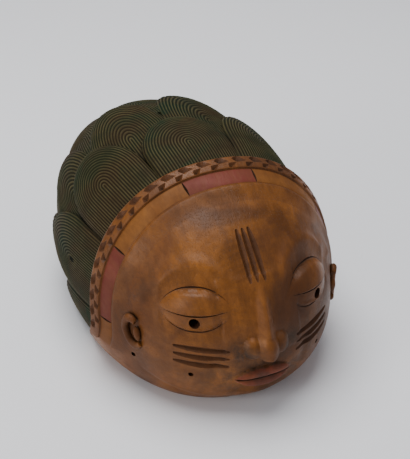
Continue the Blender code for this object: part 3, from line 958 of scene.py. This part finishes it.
def grime_shade_group():
    """Soiling and painted shade that gather in hollows, and wear that bares edges, from the carving itself."""
    tree, shader, given, result = new_group(
        "grime_shade_and_wear",
        [("Vector", "NodeSocketVector", None), ("Cavity", "NodeSocketFloat", 0.0),
         ("Edge", "NodeSocketFloat", 0.0), ("Break Up", "NodeSocketFloat", 60.0)],
        [("GrimeAndShade", "NodeSocketFloat"), ("Wear", "NodeSocketFloat")])
    spots = shader.noise(given["Vector"], given["Break Up"], 6.0, 0.65)
    uneven = shader.math("MULTIPLY", shader.math("SUBTRACT", spots, 0.5), 0.35)
    grime_and_shade = shader.math("ADD", given["Cavity"], uneven)
    wear = shader.math("ADD", given["Edge"], uneven)
    shader.tree.links.new(shader.ramp(grime_and_shade, 0.12, 0.62), result["GrimeAndShade"])
    shader.tree.links.new(shader.ramp(wear, 0.22, 0.6), result["Wear"])
    return tree


class Finishes:
    """Materials of the mask, sharing the same figure, and the same soiling with painted shade in the hollows."""

    def __init__(self):
        self.figure = grain_group()
        self.grime_and_shade = grime_shade_group()

    def start(self, name):
        """New material with its shader, coordinates, figure, and soiling with painted shade in the hollows."""
        material = bpy.data.materials.new(name)
        material.use_nodes = True
        shader = Shader(material.node_tree)
        surface = material.node_tree.nodes["Principled BSDF"]
        place = shader.node("TexCoord").outputs["Object"]
        figure = shader.node("Group", {"node_tree": self.figure}, Vector=place).outputs
        grime_and_shade = shader.node("Group", {"node_tree": self.grime_and_shade}, Vector=place).inputs
        node = grime_and_shade[0].node
        shader.put(node, "Cavity", shader.attribute("cavity"))
        shader.put(node, "Edge", shader.attribute("edge"))
        return material, shader, surface, place, figure, node.outputs

    def finish(self, shader, surface, colour, roughness, height, depth):
        """Join colour, roughness and relief to the surface."""
        bump = shader.node("Bump", Strength=1.0, Distance=depth, Height=height)
        shader.put(surface, "Base Color", colour)
        shader.put(surface, "Roughness", roughness)
        shader.put(surface, "Normal", bump.outputs["Normal"])

    def wood(self, name, pale, mid, deep, stain_and_shade, lips=None, smoke_and_shade=0.0, gloss=(0.36, 0.58)):
        """Carved wood under a worn patina."""
        material, shader, surface, place, figure, grime_shade_wear = self.start(name)
        colour = shader.mix(figure["Cloud"], pale, mid)
        broad = shader.ramp(shader.noise(place, 11.0, 5.0, 0.6, 0.8), 0.44, 0.64)
        colour = shader.mix(shader.math("MULTIPLY", broad, 0.7), colour, deep)
        streak = shader.ramp(shader.noise(shader.stretched(place, (1.0, 0.16, 0.22)), 95.0, 5.0, 0.65), 0.42, 0.66)
        colour = shader.mix(shader.math("MULTIPLY", streak, 0.35), colour, deep)
        colour = shader.mix(shader.math("MULTIPLY", figure["Fibre"], 0.32), colour, deep)
        colour = shader.mix(shader.math("MULTIPLY", grime_shade_wear["Wear"], 0.55), colour, pale)
        # Darkening round the mouth, nose wings, temples and one cheek: soot and handling, and painted shade in the
        # recesses and on the +X cheek.
        if smoke_and_shade:
            patches = shader.noise(place, 42.0, 6.0, 0.7, 0.8)
            dark = shader.math("MULTIPLY", shader.attribute("smoke_and_shade"), shader.ramp(patches, 0.38, 0.6))
            colour = shader.mix(shader.math("MULTIPLY", dark, smoke_and_shade, True), colour, stain_and_shade)
        if lips:
            blotch = shader.noise(place, 120.0, 5.0, 0.6)
            edge = shader.math("ADD", shader.attribute("lips"), shader.math("MULTIPLY", blotch, 0.12))
            paint = shader.ramp(edge, 0.06, 0.16)
            worn = shader.math("MULTIPLY", paint, shader.ramp(blotch, 0.35, 0.65, 0.92, 0.45))
            colour = shader.mix(worn, colour, lips)
            # The same soot and painted shade carried over the lips.
            colour = shader.mix(shader.math("MULTIPLY", dark, 0.4), colour, stain_and_shade)
        # Hollows and cuts darkened: soiling together with painted shade.
        colour = shader.mix(shader.math("MULTIPLY", grime_shade_wear["GrimeAndShade"], 0.8), colour, stain_and_shade)
        colour = shader.mix(shader.math("MULTIPLY", figure["Pores"], 0.22), colour, stain_and_shade)
        roughness = shader.ramp(figure["Cloud"], 0.0, 1.0, gloss[0], gloss[1])
        height = shader.math("MULTIPLY", figure["Fibre"], -0.25)
        height = shader.math("ADD", height, shader.math("MULTIPLY", figure["Gouge"], 0.9))
        height = shader.math("SUBTRACT", height, shader.math("MULTIPLY", figure["Pores"], 0.25))
        surface.inputs["Specular IOR Level"].default_value = 0.22
        self.finish(shader, surface, colour, roughness, height, 0.0004)
        return material

    def paint(self, name, fresh, faded, under, stain_and_shade, wear=1.0):
        """Old matt paint, thin over the wood and rubbed off at edges."""
        material, shader, surface, place, figure, grime_shade_wear = self.start(name)
        colour = shader.mix(figure["Cloud"], fresh, faded)
        streak = shader.math("MULTIPLY", figure["Fibre"], 0.35)
        colour = shader.mix(streak, colour, under)
        colour = shader.mix(shader.math("MULTIPLY", grime_shade_wear["Wear"], wear), colour, under)
        # Hollows and cuts darkened: soiling together with painted shade.
        colour = shader.mix(shader.math("MULTIPLY", grime_shade_wear["GrimeAndShade"], 0.8), colour, stain_and_shade)
        roughness = shader.ramp(figure["Cloud"], 0.0, 1.0, 0.5, 0.72)
        height = shader.math("MULTIPLY", figure["Fibre"], -0.35)
        height = shader.math("ADD", height, shader.math("MULTIPLY", figure["Gouge"], 0.5))
        surface.inputs["Specular IOR Level"].default_value = 0.2
        self.finish(shader, surface, colour, roughness, height, 0.0003)
        return material

    def hair(self, name, green, olive, russet, tan, stain_and_shade):
        """Green paint over combed locks, worn to russet and to bare wood on the comb's crests."""
        material, shader, surface, place, figure, grime_shade_wear = self.start(name)
        comb = shader.attribute("comb")
        tone = shader.attribute("tone")
        drift = shader.noise(place, 13.0, 4.0, 0.55, 0.3)
        lean = shader.math("ADD", drift, shader.math("MULTIPLY", shader.math("SUBTRACT", tone, 0.5), 0.16))
        colour = shader.mix(shader.ramp(lean, 0.36, 0.54), green, olive)
        rubbed = shader.ramp(shader.noise(place, 21.0, 6.0, 0.6, 0.6), 0.43, 0.64)
        colour = shader.mix(shader.math("MULTIPLY", rubbed, 0.75), colour, russet)
        thin = shader.ramp(shader.noise(place, 55.0, 5.0, 0.65), 0.35, 0.65, 0.25, 0.85)
        crest = shader.math("MULTIPLY", shader.ramp(comb, 0.45, 0.95), thin)
        colour = shader.mix(crest, colour, tan)
        valley = shader.ramp(comb, 0.45, 0.0, 0.0, 0.75)
        colour = shader.mix(valley, colour, stain_and_shade)
        # Hollows between and under the locks darkened: soiling together with painted shade.
        colour = shader.mix(shader.math("MULTIPLY", grime_shade_wear["GrimeAndShade"], 0.95), colour, stain_and_shade)
        colour = shader.mix(shader.math("MULTIPLY", grime_shade_wear["Wear"], 0.25), colour, tan)
        roughness = shader.ramp(comb, 0.0, 1.0, 0.85, 0.6)
        height = shader.math("MULTIPLY", shader.noise(place, 700.0, 3.0, 0.6), 0.5)
        height = shader.math("ADD", height, shader.math("MULTIPLY", figure["Fibre"], 0.3))
        surface.inputs["Specular IOR Level"].default_value = 0.1
        self.finish(shader, surface, colour, roughness, height, 0.00025)
        return material


def paint_band(mesh, red, ochre):
    """Give the band's panels their paint, by their place along and across it."""
    roll = mesh.attributes["band_roll"].data
    offset = mesh.attributes["band_offset"].data
    names = [material.name for material in mesh.materials]
    band = names.index("band_wood")
    for material in (red, ochre):
        mesh.materials.append(material)
    for face in mesh.polygons:
        if face.material_index != band:
            continue
        marked = [index for index in face.vertices if offset[index].value != 0.0]
        if not marked:
            continue
        middle = sum(offset[index].value for index in marked) / len(marked) * 100.0
        around = abs(sum(roll[index].value for index in marked) / len(marked) - 0.5) * 360.0
        if not PANEL_EDGE[0] < middle < PANEL_EDGE[1]:
            continue
        inner, near, far = PANEL_SPLITS
        if around < inner or near < around < far:
            face.material_index = len(names)
        else:
            face.material_index = len(names) + 1


def paint_bed(mesh, wood, hair):
    """Carry the hair's dark paint into the gaps between the locks."""
    names = [material.name for material in mesh.materials]
    wood = names.index(wood)
    hair = names.index(hair)
    for face in mesh.polygons:
        if face.material_index == wood:
            point = face.center / MM
            offset = point.y - band_line(point) - BAND_WIDTH
            if offset > HAIR_BACK or (offset > -BAND_LAP and point.z > HAIR_FOOT):
                face.material_index = hair


def build_mask():
    """Carve the mask and give it its finishes."""
    finishes = Finishes()
    # Dark colour for real staining, and for painted shade in the hollows and on one cheek.
    stain_and_shade = (0.035, 0.018, 0.008, 1.0)
    honey = finishes.wood(
        "honey_wood", (0.265, 0.092, 0.015, 1.0), (0.145, 0.046, 0.008, 1.0), (0.053, 0.017, 0.004, 1.0), stain_and_shade,
        lips=(0.20, 0.043, 0.020, 1.0), smoke_and_shade=0.95)
    band = finishes.wood(
        "band_wood", (0.215, 0.075, 0.014, 1.0), (0.13, 0.043, 0.008, 1.0), (0.055, 0.018, 0.005, 1.0), stain_and_shade)
    cut = finishes.wood(
        "cut_wood", (0.13, 0.044, 0.010, 1.0), (0.078, 0.026, 0.007, 1.0), (0.036, 0.013, 0.004, 1.0), stain_and_shade,
        gloss=(0.5, 0.7))
    knife = finishes.wood(
        "knife_line", (0.075, 0.028, 0.011, 1.0), (0.05, 0.019, 0.008, 1.0), (0.025, 0.011, 0.006, 1.0), stain_and_shade,
        gloss=(0.55, 0.75))
    inside = finishes.wood(
        "inside_wood", (0.33, 0.185, 0.08, 1.0), (0.23, 0.12, 0.05, 1.0), (0.11, 0.055, 0.024, 1.0), stain_and_shade,
        gloss=(0.62, 0.8))
    red = finishes.paint(
        "red_panel", (0.165, 0.031, 0.018, 1.0), (0.10, 0.021, 0.013, 1.0), (0.16, 0.054, 0.019, 1.0), stain_and_shade, 0.7)
    ochre = finishes.paint(
        "ochre_panel", (0.235, 0.088, 0.016, 1.0), (0.155, 0.053, 0.010, 1.0), (0.07, 0.024, 0.006, 1.0), stain_and_shade, 0.5)
    green = finishes.hair(
        "combed_hair", (0.009, 0.021, 0.009, 1.0), (0.019, 0.021, 0.008, 1.0), (0.034, 0.017, 0.007, 1.0),
        (0.080, 0.065, 0.025, 1.0), (0.002, 0.003, 0.0015, 1.0))

    work = Carving()
    mask = work.add("carved_mask", dome_mesh, honey)
    work.add("band", band_mesh, band, work.raised)
    for ring, roll, half_angle, reach, tone in lock_places():
        work.add("lock", lambda bm: lock_mesh(bm, ring, roll, half_angle, reach, tone), green, work.raised)
    work.add("whorl", whorl_mesh, green, work.raised)
    for side in (-1.0, 1.0):
        work.add("ear", lambda bm: ear_mesh(bm, side), honey, work.raised)
        work.add("ear_fold", lambda bm: ear_fold_mesh(bm, side), honey, work.raised)
        work.add("eye_line", lambda bm: eye_line_mesh(bm, side, 1.0, 0.5, 1.1, 1.4), knife, work.cut)
        work.add("under_eye", lambda bm: eye_line_mesh(bm, side, -1.0, 0.2, 0.97, 1.1), knife, work.cut)
        work.add("lid_line", lambda bm: lid_line_mesh(bm, side), knife, work.cut)
    work.add("hollow", hollow_mesh, inside, work.cut)
    work.add("below_rim", below_rim_mesh, inside, work.cut)
    work.add("splits", splits_mesh, knife, work.cut)
    work.add("notches", notches_mesh, cut, work.cut)
    work.add("marks", marks_mesh, cut, work.cut)
    work.add("mouth_line", mouth_line_mesh, knife, work.cut)
    work.add("nostrils", nostrils_mesh, knife, work.cut)
    work.add("holes", holes_mesh, knife, work.cut)
    work.join(mask)

    mesh = mask.data
    fill_marks(mesh)
    paint_bed(mesh, "honey_wood", "combed_hair")
    paint_band(mesh, red, ochre)
    measure_surface(mesh)
    measure_face(mesh)
    limits = {index: 62.0 if material is green else 38.0 for index, material in enumerate(mesh.materials)}
    sharpen(mesh, limits)
    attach(mask, "root")
    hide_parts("mask")
    return mask


def flat_shader(name, colour, roughness):
    """Plain matt backdrop paper with a faint tooth."""
    material = bpy.data.materials.new(name)
    material.use_nodes = True
    shader = Shader(material.node_tree)
    surface = material.node_tree.nodes["Principled BSDF"]
    surface.inputs["Base Color"].default_value = colour
    surface.inputs["Roughness"].default_value = roughness
    place = shader.node("TexCoord").outputs["Object"]
    bump = shader.node("Bump", Strength=0.2, Distance=0.0002, Height=shader.noise(place, 900.0))
    shader.put(surface, "Normal", bump.outputs["Normal"])
    return material


def build_floor():
    """Seamless pale floor."""
    bm = bmesh.new()
    bmesh.ops.create_grid(bm, x_segments=1, y_segments=1, size=6.0)
    mesh = bpy.data.meshes.new("floor")
    bm.to_mesh(mesh)
    bm.free()
    mesh.materials.append(flat_shader("backdrop_paper", (0.90, 0.90, 0.92, 1.0), 0.9))
    floor = bpy.data.objects.new("floor", mesh)
    bpy.context.scene.collection.objects.link(floor)


def aim(thing, eye, target):
    """Place a light or camera and point it."""
    thing.location = eye
    thing.rotation_euler = (target - eye).to_track_quat("-Z", "Y").to_euler()


def area_light(name, eye, size, power, colour=(1.0, 1.0, 1.0)):
    """Soft studio light aimed at the mask."""
    lamp = bpy.data.lights.new(name, "AREA")
    lamp.shape = "DISK"
    lamp.size = size
    lamp.energy = power
    lamp.color = colour
    thing = bpy.data.objects.new(name, lamp)
    bpy.context.scene.collection.objects.link(thing)
    aim(thing, Vector(eye), Vector((0.0, 0.0, 0.07)))


def build_light():
    """Soft key from above left of the face, broad fill and pale surroundings."""
    area_light("top", (-0.15, 0.25, 1.8), 1.5, 36.0)
    area_light("side", (-1.35, -0.4, 0.55), 0.7, 7.0)
    area_light("fill", (1.3, -1.1, 0.9), 1.2, 2.0)
    world = bpy.data.worlds.new("studio")
    bpy.context.scene.world = world
    world.use_nodes = True
    back = world.node_tree.nodes["Background"]
    back.inputs["Color"].default_value = (0.9, 0.92, 1.0, 1.0)
    back.inputs["Strength"].default_value = 0.3


CAMERA_TURN = -21.0
CAMERA_RISE = 31.2
CAMERA_REACH = 0.880
AIM_POINT = Vector((0.0, 0.012, 0.085))
AIM_RIGHT = 0.0200
AIM_DOWN = 0.0167
PICTURE_WIDTH = 410
FOCAL_PIXELS = 1047.0
SENSOR = 36.0


def build_camera():
    """Camera at the photograph's angle."""
    turn = math.radians(CAMERA_TURN)
    rise = math.radians(CAMERA_RISE)
    back = Vector((math.sin(turn) * math.cos(rise), -math.cos(turn) * math.cos(rise), math.sin(rise)))
    right = Vector((math.cos(turn), math.sin(turn), 0.0))
    up = back.cross(right)
    lens = bpy.data.cameras.new("camera")
    lens.sensor_fit = "HORIZONTAL"
    lens.sensor_width = SENSOR
    lens.lens = SENSOR * FOCAL_PIXELS / PICTURE_WIDTH
    lens.clip_start = 0.01
    camera = bpy.data.objects.new("camera", lens)
    bpy.context.scene.collection.objects.link(camera)
    aim(camera, AIM_POINT + back * CAMERA_REACH, AIM_POINT + right * AIM_RIGHT - up * AIM_DOWN)
    bpy.context.scene.camera = camera


build_camera()
build_light()
build_floor()
mask = build_mask()
print("mask triangles", sum(len(face.vertices) - 2 for face in mask.data.polygons))
